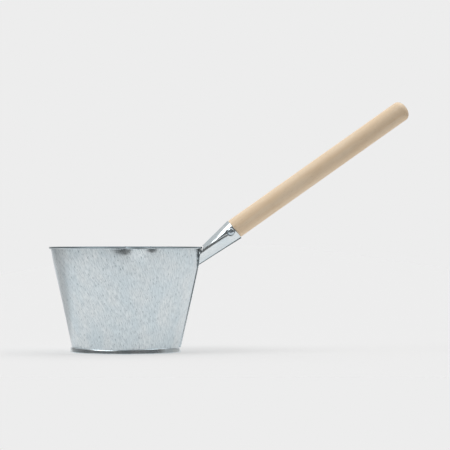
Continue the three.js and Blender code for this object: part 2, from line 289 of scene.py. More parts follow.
def plain_metal(name, light, dark, roughness, wander_size):
    """A smooth metal whose tone and gloss wander a little over wander_size metres."""
    material, tree, shader = new_material(name)
    place = add(tree, "ShaderNodeTexCoord")
    size = add(tree, "ShaderNodeMapping", {
        "Vector": place.outputs["Object"], "Scale": (wander_size,) * 3}, vector_type="TEXTURE")
    wander = add(tree, "ShaderNodeTexNoise", {"Vector": size, "Scale": 1, "Detail": 2})
    colour = add(tree, "ShaderNodeMix", {
        "Factor": wander, "A": linear(dark), "B": linear(light)}, data_type="RGBA")
    gloss = add(tree, "ShaderNodeMapRange", {
        "Value": wander, "From Min": 0.3, "From Max": 0.7, "To Min": roughness - 0.03,
        "To Max": roughness + 0.05})
    tree.links.new(colour.outputs[2], shader.inputs["Base Color"])
    tree.links.new(gloss.outputs[0], shader.inputs["Roughness"])
    shader.inputs["Metallic"].default_value = 1.0
    return material


ZINC_PLATE = plain_metal("bright_zinc_plate", "#DCE6EC", "#C2D0D9", 0.24, 0.002)
STEEL_WIRE = plain_metal("drawn_steel_wire", "#A9AFB3", "#8A9094", 0.30, 0.003)

# %% [markdown]
# ## Building sheet metal as one closed surface
#
# A seamed or rolled sheet is easiest to draw as the line that its middle follows. Thickening that line on
# both sides gives the sheet's cut section, and turning the section round the bowl's axis gives a closed
# surface with a real inside and outside. Each point also gets its place on the flat sheet as its UV.

# %% Outline helpers


def arc(centre, radius, start, end, steps):
    """Points on an arc, from start to end in degrees."""
    turns = np.radians(np.linspace(start, end, steps + 1))
    return np.column_stack([centre[0] + radius * np.cos(turns), centre[1] + radius * np.sin(turns)])


def line(start, end, steps):
    return np.linspace(start, end, steps + 1)


def joined(*runs):
    """Runs of points end to end, without the doubled points where they meet."""
    points = np.vstack(runs)
    far = np.linalg.norm(np.diff(points, axis=0), axis=1) > 1e-7
    return points[np.concatenate([[True], far])]


def thickened(path, thickness):
    """A closed outline: the path moved to one side, then back along the other."""
    along = np.gradient(path, axis=0)
    along /= np.linalg.norm(along, axis=1, keepdims=True)
    across = np.column_stack([along[:, 1], -along[:, 0]]) * thickness / 2
    return np.vstack([path + across, (path - across)[::-1]])


# %% Mesh helpers


def finish_piece(piece, replaces):
    """Hand a finished piece to the frame: what it rides on, and the nodes it stands for, which it hides."""
    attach(piece, BODY)
    for node in replaces:
        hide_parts(node)
    print(piece.name, len(piece.data.polygons), "faces")


def grid_faces(rows, columns, closed_rows):
    """Quads over a grid whose columns wrap round, and whose rows may."""
    row = np.arange(rows if closed_rows else rows - 1)[:, None]
    column = np.arange(columns)[None, :]
    next_row = (row + 1) % rows
    next_column = (column + 1) % columns
    corners = [row * columns + column, row * columns + next_column]
    corners += [next_row * columns + next_column, next_row * columns + column]
    return np.stack(np.broadcast_arrays(*corners), -1).reshape(-1, 4)


def grid_piece(name, grid, uv, material, closed_rows=True):
    """A closed mesh from a grid of points, rows x columns x 3. uv has one column more than the grid."""
    rows, columns = grid.shape[:2]
    faces = grid_faces(rows, columns, closed_rows)
    mesh = bpy.data.meshes.new(name)
    mesh.from_pydata(grid.reshape(-1, 3).tolist(), [], faces.tolist())
    layer = mesh.uv_layers.new(name="sheet")
    row = np.repeat(np.arange(rows if closed_rows else rows - 1), columns)
    column = np.tile(np.arange(columns), len(row) // columns)
    next_row = (row + 1) % rows
    corners = np.stack([
        uv[row, column], uv[row, column + 1], uv[next_row, column + 1], uv[next_row, column]], 1)
    layer.data.foreach_set("uv", corners.reshape(-1).astype(np.float32))
    mesh.materials.append(material)
    return closed_piece(name, mesh)


def closed_piece(name, mesh):
    """Merge doubled points, drop faces with no area, and make sure that the surface faces outwards."""
    work = bmesh.new()
    work.from_mesh(mesh)
    bmesh.ops.remove_doubles(work, verts=work.verts, dist=1e-7)
    bmesh.ops.dissolve_degenerate(work, dist=1e-7, edges=work.edges)
    if work.calc_volume(signed=True) < 0:
        bmesh.ops.reverse_faces(work, faces=work.faces)
    for face in work.faces:
        face.smooth = True
    work.to_mesh(mesh)
    work.free()
    piece = bpy.data.objects.new(name, mesh)
    bpy.context.scene.collection.objects.link(piece)
    return piece


def with_ends(grid):
    """The grid with its first and last rows drawn in to a point, which closes both ends of a strip."""
    ends = [np.repeat(grid[i].mean(0)[None, None, :], grid.shape[1], axis=1) for i in (0, -1)]
    return np.concatenate([ends[0], grid, ends[1]], axis=0)


def flat_faced(piece):
    """Shade a pressed or pinched strip as flat faces between sharp edges."""
    for polygon in piece.data.polygons:
        polygon.use_smooth = False


# %% [markdown]
# ## The bowl's wall
#
# The wall is a flat sheet rolled to a cone. Its foot turns out and up to hook into the bottom's seam, and its
# top edge is curled over a wire, which is what keeps so thin a sheet round. The pouring lip is pressed in
# last: the rim goes out between two sharp creases, and the metal beside each crease is drawn in. A lathe
# shape with its points moved by a rule makes all of this in one closed surface.

# %% Pressing the lip


def press_lip(turn, radius, z):
    """Where a point of the bowl goes when the lip is pressed: its new radius and height."""
    from_lip = (turn - math.radians(LIP_ANGLE) + math.pi) % (2 * math.pi) - math.pi
    along = np.abs(from_lip) * ROLL_CENTRE
    below = BOWL_HEIGHT - z
    beyond = np.maximum(0, along - LIP_HALF_WIDTH)
    dent_in, dent_depth, dent_reach = (
        np.where(from_lip < 0, *pair) for pair in (CREASE_IN, CREASE_DEPTH, CREASE_REACH))
    lip_fade = np.maximum(0, 1 - below / LIP_DEPTH) ** 2
    dent_fade = np.maximum(0, 1 - below / dent_depth) ** 2 * np.maximum(0, 1 - beyond / dent_reach) ** 1.6
    crown = np.where(along < LIP_HALF_WIDTH, np.cos(math.pi / 2 * along / LIP_HALF_WIDTH), 0)
    near_crease = np.maximum(0, 1 - np.abs(along - LIP_HALF_WIDTH) / (LIP_HALF_WIDTH / 2)) ** 2
    moved = radius + LIP_OUT * crown * lip_fade - dent_in * (1 - crown) * dent_fade
    return moved, z + (CREASE_RISE * near_crease - LIP_SAG * crown) * lip_fade


def bowl_turns():
    """Angles round the bowl from the handle, in steps that are five times finer at the lip and its dents."""
    coarse, fine = 1.25, 0.25
    lip_start, lip_end = 360 + LIP_ANGLE - 26, 360 + LIP_ANGLE + 22
    before = np.arange(0, lip_start, coarse)
    lip = np.arange(lip_start, lip_end, fine)
    after = np.arange(lip_end, 360, coarse)
    return np.radians(np.concatenate([before, lip, after]))


# %% The unevenness of handwork
WALL_WAVE = 0.10 * MM
WALL_BULGE = 0.45 * MM
# Waves of the seam's upper edge: how many go round, where one peaks in degrees, and its height in mm.
SEAM_WAVES = ((3, 195, 1.1), (1, 215, 0.6))
SEAM_WAVE_START = 1.5 * MM


def hand_made(turn, radius, z):
    """The small unevenness of a bowl that is rolled and seamed by hand: how far out and how far up."""
    share = z / BOWL_HEIGHT
    out = WALL_WAVE * np.sin(3 * turn + 1.1 + 1.5 * share) * np.sin(math.pi * share)
    out = out + WALL_BULGE * np.cos(turn) * np.sin(math.pi * share)
    seam_wave = sum(
        height * np.cos(count * (turn - math.radians(peak))) for count, peak, height in SEAM_WAVES)
    in_seam = (radius > WALL_FOOT_RADIUS + 0.1 * MM) & (z < SEAM_HEIGHT + 0.1 * MM)
    rise = np.where(in_seam, np.clip((z - SEAM_WAVE_START) / (SEAM_HEIGHT - SEAM_WAVE_START), 0, 1), 0)
    return out * np.minimum(1, radius / WALL_FOOT_RADIUS), seam_wave * MM * rise


# %% Turning an outline into the bowl
# An angle round the bowl times this radius, its mean one in metres, is a distance across the sheet.
SHEET_RADIUS = 0.09


def bowl_piece(name, outline, material, closed_rows=True):
    """Turn an outline of radius and height round the bowl's axis, with the lip pressed in."""
    turns = bowl_turns()
    start_radius, start_z = outline[:, :1], outline[:, 1:]
    out, up = hand_made(turns[None, :], start_radius, start_z)
    radius, z = press_lip(turns[None, :], start_radius, start_z)
    radius, z = radius + out, z + up
    grid = np.stack([AXIS_X + radius * np.cos(turns), radius * np.sin(turns), z], -1)
    steps = np.linalg.norm(np.diff(outline, axis=0, prepend=outline[:1]), axis=1)
    down_sheet = np.cumsum(steps)
    if closed_rows:
        down_sheet = np.minimum(down_sheet, down_sheet[-1] - down_sheet)
    around = np.append(turns, 2 * math.pi) * SHEET_RADIUS
    uv = np.stack(np.broadcast_arrays(around[None, :], down_sheet[:, None]), -1)
    return grid_piece(name, grid, uv, material, closed_rows)


# %% The wall's section, from the hook in the seam to the end of the roll
hook_radius = WALL_FOOT_RADIUS + 0.4 * MM
hook_bend = 0.65 * MM
hook_bend_z = 1.55 * MM
hook_start = 1.6 * MM
hook_top = 4.4 * MM
# Heights of the points up the wall, closer together near the seam and the lip.
wall_heights = np.concatenate([
    np.linspace(SEAM_HEIGHT + 0.1 * MM, 13 * MM, 8),
    np.linspace(18 * MM, 112 * MM, 9),
    np.linspace(116 * MM, ROLL_Z, 24)])
wall_path = joined(
    line((hook_radius + hook_bend, hook_top), (hook_radius + hook_bend, hook_start), 3),
    arc((hook_radius, hook_bend_z), hook_bend, 0, -180, 10),
    line((hook_radius - hook_bend, hook_start), (hook_radius - hook_bend, SEAM_HEIGHT - 0.4 * MM), 3),
    np.column_stack([wall_radius(wall_heights) - SHEET / 2, wall_heights]),
    arc((ROLL_CENTRE, ROLL_Z), ROLL_RADIUS - SHEET / 2, 180, ROLL_END, 24))
bowl = bowl_piece("bowl_sheet", thickened(wall_path, SHEET), BOWL_ZINC)
finish_piece(bowl, ["bowl_wall"])

# %% [markdown]
# ## The bottom and its double seam
#
# The bottom is a disc pressed up a little inside the wall. Its edge goes down, out under the wall's hook, up
# again as the band that the scoop stands on, and over into the hook. All its bends are round, because a
# sheet can't be folded sharper than its own thickness. The band was closed by hand, so its upper edge
# wanders up and down by a millimetre or so, which the rule for hand-made unevenness gives.

# %% The bottom
chuck_radius = WALL_FOOT_RADIUS - 1.9 * SHEET
panel_z = 2.6 * MM + SHEET / 2
band_radius = FOOT_RADIUS - 0.3 * MM - SHEET / 2
band_lean = 0.45 * MM
# The radii of the bends, from the panel out to the fold that goes over into the hook.
panel_bend, chuck_bend, band_bend, fold = 1.2 * MM, 0.6 * MM, 0.5 * MM, 0.78 * MM
fold_z = SEAM_HEIGHT - SHEET / 2 - fold
fold_end_z = 2.6 * MM
fold_end_radius = band_radius - band_lean - 2 * fold
bottom_path = joined(
    line((0, panel_z), (chuck_radius - panel_bend, panel_z), 12),
    arc((chuck_radius - panel_bend, panel_z - panel_bend), panel_bend, 90, 0, 5),
    arc((chuck_radius + chuck_bend, SHEET / 2 + chuck_bend), chuck_bend, 180, 270, 5),
    arc((band_radius - band_bend, SHEET / 2 + band_bend), band_bend, -90, 0, 8),
    line((band_radius, SHEET / 2 + band_bend), (band_radius - band_lean, fold_z), 5),
    arc((band_radius - band_lean - fold, fold_z), fold, 0, 180, 12),
    line((fold_end_radius, fold_z), (fold_end_radius, fold_end_z), 2))
bottom_outline = thickened(bottom_path, SHEET)
bottom_outline[[0, -1], 0] = 0
bottom = bowl_piece("bottom_sheet", bottom_outline, BRIGHT_ZINC, closed_rows=False)
finish_piece(bottom, ["bottom_plate"])

# %% [markdown]
# ## The wire in the rim
#
# The wire is one round section along a closed path, which is what Curve to Mesh does. The path is the middle
# of the roll, so it takes the lip's shape from the same rule as the sheet.

# %% The wire, with Geometry Nodes


def set_inputs(modifier, tree, values):
    """Set a Geometry Nodes modifier's inputs by their sockets' identifiers."""
    for item in tree.interface.items_tree:
        if item.item_type == "SOCKET" and item.in_out == "INPUT" and item.name in values:
            modifier[item.identifier] = values[item.name]


def geometry_tree(name, inputs):
    """A node group with Geometry in and out and the given named inputs."""
    tree = bpy.data.node_groups.new(name, "GeometryNodeTree")
    tree.interface.new_socket("Geometry", in_out="INPUT", socket_type="NodeSocketGeometry")
    for label, kind in inputs:
        tree.interface.new_socket(label, in_out="INPUT", socket_type=kind)
    tree.interface.new_socket("Geometry", in_out="OUTPUT", socket_type="NodeSocketGeometry")
    source = add(tree, "NodeGroupInput")
    return tree, source


def close_tree(tree, geometry, material):
    """Every tree ends the same way: real geometry, with its material."""
    real = add(tree, "GeometryNodeRealizeInstances", {"Geometry": geometry})
    finish = add(tree, "GeometryNodeSetMaterial", {"Geometry": real.outputs[0], "Material": material})
    add(tree, "NodeGroupOutput", {0: finish.outputs[0]})


def grown(name, seed, tree, values):
    """Run a tree on a seed object and keep the result as a plain mesh."""
    bpy.context.scene.collection.objects.link(seed)
    modifier = seed.modifiers.new("grow", "NODES")
    modifier.node_group = tree
    set_inputs(modifier, tree, values)
    evaluated = seed.evaluated_get(bpy.context.evaluated_depsgraph_get())
    mesh = bpy.data.meshes.new_from_object(evaluated)
    bpy.data.objects.remove(seed)
    return closed_piece(name, mesh)


wire_tree, wire_in = geometry_tree("rim_wire", [
    ("Wire Radius", "NodeSocketFloat"), ("Material", "NodeSocketMaterial")])
section = add(wire_tree, "GeometryNodeCurvePrimitiveCircle", {
    "Resolution": 12, "Radius": wire_in.outputs["Wire Radius"]}, mode="RADIUS")
swept = add(wire_tree, "GeometryNodeCurveToMesh", {
    "Curve": wire_in.outputs["Geometry"], "Profile Curve": section.outputs["Curve"]})
close_tree(wire_tree, swept.outputs["Mesh"], wire_in.outputs["Material"])

wire_turns = bowl_turns()
wire_radius, wire_z = press_lip(
    wire_turns, np.full_like(wire_turns, ROLL_CENTRE), np.full_like(wire_turns, ROLL_Z))
wire_curve = bpy.data.curves.new("rim_wire_path", "CURVE")
wire_curve.dimensions = "3D"
wire_spline = wire_curve.splines.new("POLY")
wire_spline.points.add(len(wire_turns) - 1)
for place, turn, radius, z in zip(wire_spline.points, wire_turns, wire_radius, wire_z):
    place.co = (AXIS_X + radius * math.cos(turn), radius * math.sin(turn), z, 1)
wire_spline.use_cyclic_u = True
wire = grown("wire_in_rim", bpy.data.objects.new("rim_wire_path", wire_curve), wire_tree, {
    "Wire Radius": WIRE_RADIUS, "Material": STEEL_WIRE})
finish_piece(wire, ["rim_wire"])

# %% [markdown]
# ## The side seam
#
# The wall's two ends are hooked together and pressed flat. From outside that is a flat rib 7 mm wide under
# the handle, 1.6 to 2.3 mm proud, with a fine groove along one side. It is one closed strip that lies in
# the wall.

# %% The side seam
SEAM_WIDTH = 7 * MM
# How far the rib's outline is stretched off the wall, and how much more at the foot, where it is pressed
# least.
SEAM_STRETCH, SEAM_FOOT_STRETCH = 1.25, 0.5


def wall_point(y, z, off):
    """A point off the bowl's outside, on the handle's side."""
    share = z / BOWL_HEIGHT
    radius = wall_radius(z) + off + WALL_BULGE * np.sin(math.pi * share)
    return np.stack(np.broadcast_arrays(AXIS_X + np.sqrt(radius ** 2 - y ** 2), y, z), -1)


def side_seam():
    """The rib's outline across and off the wall, in millimetres, swept up from the foot to the roll."""
    half = SEAM_WIDTH / MM / 2
    outline = [(-half, 0.1), (-half, 0.9), (-half + 0.12, 1.15), (-half + 0.4, 1.3), (-0.9, 1.3)]
    outline += [(-0.6, 0.95), (-0.2, 0.95), (0.1, 1.25), (half - 0.4, 1.25), (half - 0.1, 1.0)]
    outline += [(half, 0.1), (half, -0.7), (-half, -0.7)]
    section = np.array(outline) * MM
    heights = np.linspace(SEAM_HEIGHT + 0.4 * MM, ROLL_Z - ROLL_RADIUS - 0.4 * MM, 40)
    stretch = SEAM_STRETCH + SEAM_FOOT_STRETCH * (1 - heights[:, None] / BOWL_HEIGHT)
    grid = wall_point(section[None, :, 0], heights[:, None], section[None, :, 1] * stretch)
    up = np.pad(heights, 1, mode="edge")[:, None]
    across = np.append(section[:, 0], section[0, 0])[None, :]
    uv = np.stack(np.broadcast_arrays(across, up), -1)
    return grid_piece("side_seam", with_ends(grid), uv, BRIGHT_ZINC, closed_rows=False)


seam = side_seam()
flat_faced(seam)
finish_piece(seam, [])

# %% [markdown]
# ## The socket
#
# The socket is a piece of the same sheet rolled round a cone. At the bowl it is a wide rounded shape that
# follows the wall, and at its mouth it is round. A surface between the two made of straight lines is what
# rolled sheet really forms. One edge laps over the other on the near side, a little more than one sheet
# proud, and runs down from above the widest place at the bowl to just below the screw, where it has a round
# lobe.

# %% Sizes of the socket and the handle
socket_low, socket_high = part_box("handle_socket")
handle_low, handle_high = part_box("wooden_handle")
MOUTH = Vector((AXIS_X + 150.1 * MM, 0, 169.6 * MM))
MOUTH_RADIUS = 15 * MM
MOUTH_TILT = math.radians(39)
FOOT_Z = 133.3 * MM
FOOT_HALF_HEIGHT = 13.5 * MM
FOOT_HALF_WIDTH = (socket_high.y - socket_low.y) / 2
# Above its middle the foot is wider by up to this share, and below it narrower.
FOOT_FLARE = 0.16
# How far the foot stands off the wall, how much more on the near side, and how much more beside the roll.
FOOT_GAP, NEAR_GAP, ROLL_GAP = 0.7 * MM, 1.6 * MM, 2.6 * MM
LAP_START = math.radians(29)
LAP_TURN = math.radians(-34)
LAP_HEIGHT = 1.1 * SHEET
# The sheet springs straight near its edge, so the edge stands a little further out.
LAP_SPRING = 0.6 * MM
LAP_SPRING_REACH = math.radians(29)
LOBE_RADIUS = 6.2 * MM
# The screw pulls a shallow dimple into the sheet.
DIMPLE_DEPTH, DIMPLE_RADIUS = 0.5 * MM, 4.6 * MM
MOUTH_ROUNDING = 0.2 * MM
HANDLE_RADIUS = (handle_high.y - handle_low.y) / 2
HANDLE_TILT = math.radians(35.3)
HANDLE_LENGTH = 290 * MM
SCREW_INSET = 6.4 * MM
mouth_up = np.array([-math.sin(MOUTH_TILT), 0, math.cos(MOUTH_TILT)])
wall_at_foot = Vector((AXIS_X + float(wall_radius(FOOT_Z)), 0, FOOT_Z))
SOCKET_LENGTH = (MOUTH - wall_at_foot).length
print(f"socket {SOCKET_LENGTH / MM:.1f} mm long, handle {2 * HANDLE_RADIUS / MM:.1f} mm thick")


def smoothstep(value, low, high):
    share = np.clip((value - low) / (high - low), 0, 1)
    return share * share * (3 - 2 * share)


def socket_point(turn, share, lift):
    """A point on the socket. turn is 0 on the near side and a quarter turn at the top, share goes from 0 at
    the bowl to 1 at the mouth, and lift is how far the point is raised off the plain surface."""
    side, up = np.cos(turn), np.sin(turn)
    foot_y = -FOOT_HALF_WIDTH * side * (1 + FOOT_FLARE * up)
    foot_z = FOOT_Z + FOOT_HALF_HEIGHT * up
    # The foot follows the plain cone, so the wall's ease is added back.
    ease = WALL_EASE * np.maximum(0, foot_z - WALL_EASE_HEIGHT) ** 2
    stand_off = FOOT_GAP + NEAR_GAP * smoothstep(side, 0.2, 0.8)
    stand_off = stand_off + ROLL_GAP * smoothstep(up, 0.3, 0.55) * (1 - smoothstep(up, 0.85, 1))
    foot_x = AXIS_X + np.sqrt((wall_radius(foot_z) + ease + stand_off) ** 2 - foot_y ** 2)
    foot = np.stack(np.broadcast_arrays(foot_x, foot_y, foot_z), -1)
    mouth = np.array(MOUTH) + MOUTH_RADIUS * (up[..., None] * mouth_up)
    mouth = mouth - np.stack([0 * side, MOUTH_RADIUS * side, 0 * side], -1)
    out = up[..., None] * mouth_up - np.stack([0 * side, side, 0 * side], -1)
    return foot + (mouth - foot) * share[..., None] + out * lift[..., None]


def lap_edge(share):
    """The turn at which the lapped edge lies along the socket."""
    plain = LAP_START + LAP_TURN * share
    from_screw = (1 - share) * SOCKET_LENGTH - SCREW_INSET
    reach = np.sqrt(np.maximum(0, LOBE_RADIUS ** 2 - from_screw ** 2))
    lobe = np.where(reach > 0, -np.arcsin(np.clip(reach / MOUTH_RADIUS, 0, 1)), 1)
    return np.minimum(plain, lobe)


def socket_tube():
    """The rolled sheet from its lapped edge round to its other edge, outside and inside."""
    mouth_start = 0.985
    shares = np.concatenate([
        np.linspace(0, 0.03, 7)[:-1], np.linspace(0.03, 0.72, 24)[:-1], np.linspace(0.72, mouth_start, 50),
        [0.992, 0.997, 1.0]])
    from_edge = np.linspace(0, 2 * math.pi, 181)
    share = shares[:, None] + 0 * from_edge[None, :]
    turn = lap_edge(shares)[:, None] + from_edge[None, :]
    lap = LAP_HEIGHT * (1 - smoothstep(from_edge, math.radians(18), math.radians(80)))
    lap = lap + LAP_SPRING * np.maximum(0, 1 - from_edge / LAP_SPRING_REACH) ** 2
    lip_round = MOUTH_ROUNDING * np.clip((shares - mouth_start) / 0.015, 0, 1) ** 2
    to_screw = MOUTH_RADIUS * np.abs((turn + math.pi) % (2 * math.pi) - math.pi)
    screw_distance = np.hypot(to_screw, (1 - share) * SOCKET_LENGTH - SCREW_INSET)
    dimple = DIMPLE_DEPTH * np.exp(-(screw_distance / DIMPLE_RADIUS) ** 2)
    outer = socket_point(turn, share, lap[None, :] - lip_round[:, None] - dimple)
    inner = socket_point(turn, share, lip_round[:, None] - SHEET - dimple)
    grid = np.concatenate([outer, inner[::-1]], axis=0)
    # The inside's marks are moved along, so that they aren't the outside's.
    along = np.concatenate([shares, shares[::-1] + 0.1])[:, None] * SOCKET_LENGTH
    around = np.append(from_edge, 2 * math.pi)[None, :] * MOUTH_RADIUS
    uv = np.stack(np.broadcast_arrays(around, along), -1)
    return grid_piece("socket_sheet", grid, uv, BRIGHT_ZINC)


socket = socket_tube()
finish_piece(socket, ["handle_socket"])

# %% [markdown]
# ## The fin under the socket
#
# Along its underside the rolled sheet is pinched into a narrow standing fin, a little deeper at the mouth
# than at the bowl. From the side its flat face turns to the dark part of the room, so it draws a dark line.

# %% The fin


def socket_fin():
    """The fin's four-sided section, swept along the socket and deeper by half at the mouth."""
    shares = np.linspace(0.02, 0.995, 40)
    deepening = 1 + 0.5 * shares ** 3
    # Turns from straight down towards the near side, in degrees, and how far out in millimetres.
    section = ((18, -0.2), (16.8, 1.0), (14.8, 1.0), (15, -0.2))
    columns = [
        socket_point(np.radians(-90 + turn) + 0 * shares, shares, out * MM * deepening)
        for turn, out in section]
    grid = with_ends(np.stack(columns, axis=1))
    along = np.pad(shares, 1, mode="edge")[:, None] * SOCKET_LENGTH
    around = np.linspace(0, 4 * MM, len(section) + 1)[None, :]
    uv = np.stack(np.broadcast_arrays(around, along), -1)
    return grid_piece("socket_fin", grid, uv, BRIGHT_ZINC, closed_rows=False)


fin = socket_fin()
flat_faced(fin)
finish_piece(fin, [])

# %% [markdown]
# ## The socket's tabs
#
# Two tabs are bent in from the socket's end and lie flat on the wall on either side of the seam, where the
# rivets go through. Under the socket a short lip is folded down against the wall.

# %% The tabs
# Each plate's range of heights, and of distances off the wall.
TAB_HEIGHTS, TAB_OFF = (126.5 * MM, 139 * MM), (0.1 * MM, 0.6 * MM)
UNDER_LIP_HEIGHTS, UNDER_LIP_OFF = (116.4 * MM, 122 * MM), (1.4 * MM, 2.0 * MM)
UNDER_LIP_HALF_WIDTH = 9 * MM


def wall_plate(name, y_range, z_range, off_range):
    """A thin plate on the wall with rounded corners, made of rings from its middle out and back again."""
    turns = np.radians(np.arange(0, 360, 7.5))
    half_y, half_z = (y_range[1] - y_range[0]) / 2, (z_range[1] - z_range[0]) / 2
    side, up = np.cos(turns), np.sin(turns)
    y = half_y * np.sign(side) * np.abs(side) ** 0.5
    z = half_z * np.sign(up) * np.abs(up) ** 0.5
    shrink = np.linspace(0, 1, 6)
    rings = [(grow, off_range[0]) for grow in shrink] + [(grow, off_range[1]) for grow in shrink[::-1]]
    grid = np.stack([
        wall_point(sum(y_range) / 2 + y * grow, sum(z_range) / 2 + z * grow, off) for grow, off in rings])
    across = np.linspace(0, 20 * MM, len(rings))[:, None]
    around = np.append(turns, 2 * math.pi)[None, :] * (10 * MM)
    uv = np.stack(np.broadcast_arrays(around, across), -1)
    return grid_piece(name, grid, uv, BRIGHT_ZINC, closed_rows=False)


tab_inner, tab_outer = SEAM_WIDTH / 2 + 1.5 * MM, FOOT_HALF_WIDTH - 2.5 * MM
for side, label in ((-1, "near"), (1, "far")):
    edges = sorted((side * tab_inner, side * tab_outer))
    tab = wall_plate(f"socket_tab_{label}", edges, TAB_HEIGHTS, TAB_OFF)
    finish_piece(tab, [])
under_lip = wall_plate(
    "socket_under_lip", (-UNDER_LIP_HALF_WIDTH, UNDER_LIP_HALF_WIDTH), UNDER_LIP_HEIGHTS, UNDER_LIP_OFF)
finish_piece(under_lip, [])

# %% [markdown]
# ## The rivets
#
# Two equal rivets hold the tabs to the wall. A small tree sets one rivet on each point, and turns it to the
# wall's own direction, which each point carries as an attribute.

# %% The rivets, with Geometry Nodes
RIVET_SIZES = {
    "Head Radius": 3.2 * MM, "Head Height": 1.1 * MM, "Shank Radius": 1.5 * MM, "Grip": 1.3 * MM,
    "Material": ZINC_PLATE}
# The middle of a rivet's grip is this far off the wall's outside.
RIVET_MIDDLE = 0.05 * MM

rivet_tree, rivet_in = geometry_tree("rivets", [
    ("Head Radius", "NodeSocketFloat"), ("Head Height", "NodeSocketFloat"),
    ("Shank Radius", "NodeSocketFloat"), ("Grip", "NodeSocketFloat"), ("Material", "NodeSocketMaterial")])


def rivet_head(place):
    """A flattened ball for a head, at a distance along the rivet."""
    size = add(rivet_tree, "ShaderNodeCombineXYZ", {
        "X": rivet_in.outputs["Head Radius"], "Y": rivet_in.outputs["Head Radius"],
        "Z": rivet_in.outputs["Head Height"]})
    where = add(rivet_tree, "ShaderNodeCombineXYZ", {"Z": place})
    ball = add(rivet_tree, "GeometryNodeMeshUVSphere", {"Segments": 32, "Rings": 16, "Radius": 1.0})
    return add(rivet_tree, "GeometryNodeTransform", {
        "Geometry": ball.outputs["Mesh"], "Translation": where.outputs[0], "Scale": size.outputs[0]})


half_grip = add(rivet_tree, "ShaderNodeMath", {0: rivet_in.outputs["Grip"], 1: 0.5}, operation="MULTIPLY")
minus_half = add(rivet_tree, "ShaderNodeMath", {0: half_grip.outputs[0], 1: -1.0}, operation="MULTIPLY")
shank = add(rivet_tree, "GeometryNodeMeshCylinder", {
    "Vertices": 24, "Radius": rivet_in.outputs["Shank Radius"], "Depth": rivet_in.outputs["Grip"]})
rivet_shape = add(rivet_tree, "GeometryNodeJoinGeometry")
for part in (rivet_head(half_grip.outputs[0]), rivet_head(minus_half.outputs[0]), shank):
    rivet_tree.links.new(part.outputs[0], rivet_shape.inputs[0])
direction = add(rivet_tree, "GeometryNodeInputNamedAttribute", {"Name": "out"}, data_type="FLOAT_VECTOR")
turned_out = add(rivet_tree, "FunctionNodeAlignRotationToVector", {
    "Vector": direction.outputs["Attribute"]}, axis="Z")
placed = add(rivet_tree, "GeometryNodeInstanceOnPoints", {
    "Points": rivet_in.outputs["Geometry"], "Instance": rivet_shape.outputs[0],
    "Rotation": turned_out.outputs["Rotation"]})
close_tree(rivet_tree, placed.outputs[0], rivet_in.outputs["Material"])

rivet_nodes = ("socket_rivet_near", "socket_rivet_far")
rivet_points, rivet_outs = [], []
for node in rivet_nodes:
    low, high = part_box(node)
    y, z = (low.y + high.y) / 2, (low.z + high.z) / 2
    turn, slope = math.asin(y / float(wall_radius(z))), math.atan(WALL_SLOPE)
    rivet_points.append(wall_point(np.array(y), np.array(z), RIVET_MIDDLE))
    rivet_outs.append((math.cos(turn) * math.cos(slope), math.sin(turn) * math.cos(slope), -math.sin(slope)))
rivet_seed_mesh = bpy.data.meshes.new("rivet_places")
rivet_seed_mesh.from_pydata([tuple(p) for p in rivet_points], [], [])
out_attribute = rivet_seed_mesh.attributes.new("out", "FLOAT_VECTOR", "POINT")
out_attribute.data.foreach_set("vector", np.array(rivet_outs).reshape(-1))
rivet_seed = bpy.data.objects.new("rivet_places", rivet_seed_mesh)
rivets = grown("socket_rivets", rivet_seed, rivet_tree, RIVET_SIZES)
finish_piece(rivets, list(rivet_nodes))

# %% [markdown]
# ## The screw
#
# A round-head screw with a cross recess. The head is a turned dome, and the recess is cut with two crossed
# tapered blocks, as the punch that forms it does.

# %% The screw
screw_low, screw_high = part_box("handle_screw")
SCREW_X = (screw_low.x + screw_high.x) / 2
SCREW_Z = (screw_low.z + screw_high.z) / 2
HEAD_RADIUS = (screw_high.x - screw_low.x) / 2
HEAD_HEIGHT = 2.6 * MM
HEAD_EDGE = 0.35 * MM
SHANK_RADIUS = 1.5 * MM
SHANK_LENGTH = 11 * MM
SCREW_LENGTH = 15 * MM
# The punch's width, length and height, the share to which its tip narrows, and its two turns in degrees.
RECESS_SIZE = (1.1 * MM, 4.8 * MM, 3 * MM)
RECESS_TIP = 0.55
RECESS_TURNS = (5, 95)
head_seat = screw_low.y + HEAD_HEIGHT


def turned_piece(name, profile, columns, place, material):
    """A solid turned about its own Z, with its place given by a matrix. UVs are metres on its surface."""
    turns = np.linspace(0, 2 * math.pi, columns + 1)
    radius, z = profile[:, :1], profile[:, 1:]
    grid = np.stack([radius * np.cos(turns[:-1]), radius * np.sin(turns[:-1]), z + 0 * turns[:-1]], -1)
    flat = grid.reshape(-1, 3) @ np.array(place.to_3x3()).T + np.array(place.translation)
    steps = np.linalg.norm(np.diff(profile, axis=0, prepend=profile[:1]), axis=1)
    along = np.cumsum(steps)[:, None]
    uv = np.stack([turns[None, :] * profile[:, 0].max() + 0 * along, along + 0 * turns[None, :]], -1)
    return grid_piece(name, flat.reshape(grid.shape), uv, material, closed_rows=False)


def block(size, tip_share, place):
    """A closed block whose lower end is narrower, as a cutting tool."""
    mesh = bpy.data.meshes.new("cutter")
    work = bmesh.new()
    bmesh.ops.create_cube(work, size=1)
    for vertex in work.verts:
        narrow = tip_share if vertex.co.z < 0 else 1
        x, y, z = vertex.co
        vertex.co = Vector((x * size[0] * narrow, y * size[1] * narrow, z * size[2]))
    work.transform(place)
    work.to_mesh(mesh)
    work.free()
    cutter = bpy.data.objects.new("cutter", mesh)
    bpy.context.scene.collection.objects.link(cutter)
    return cutter


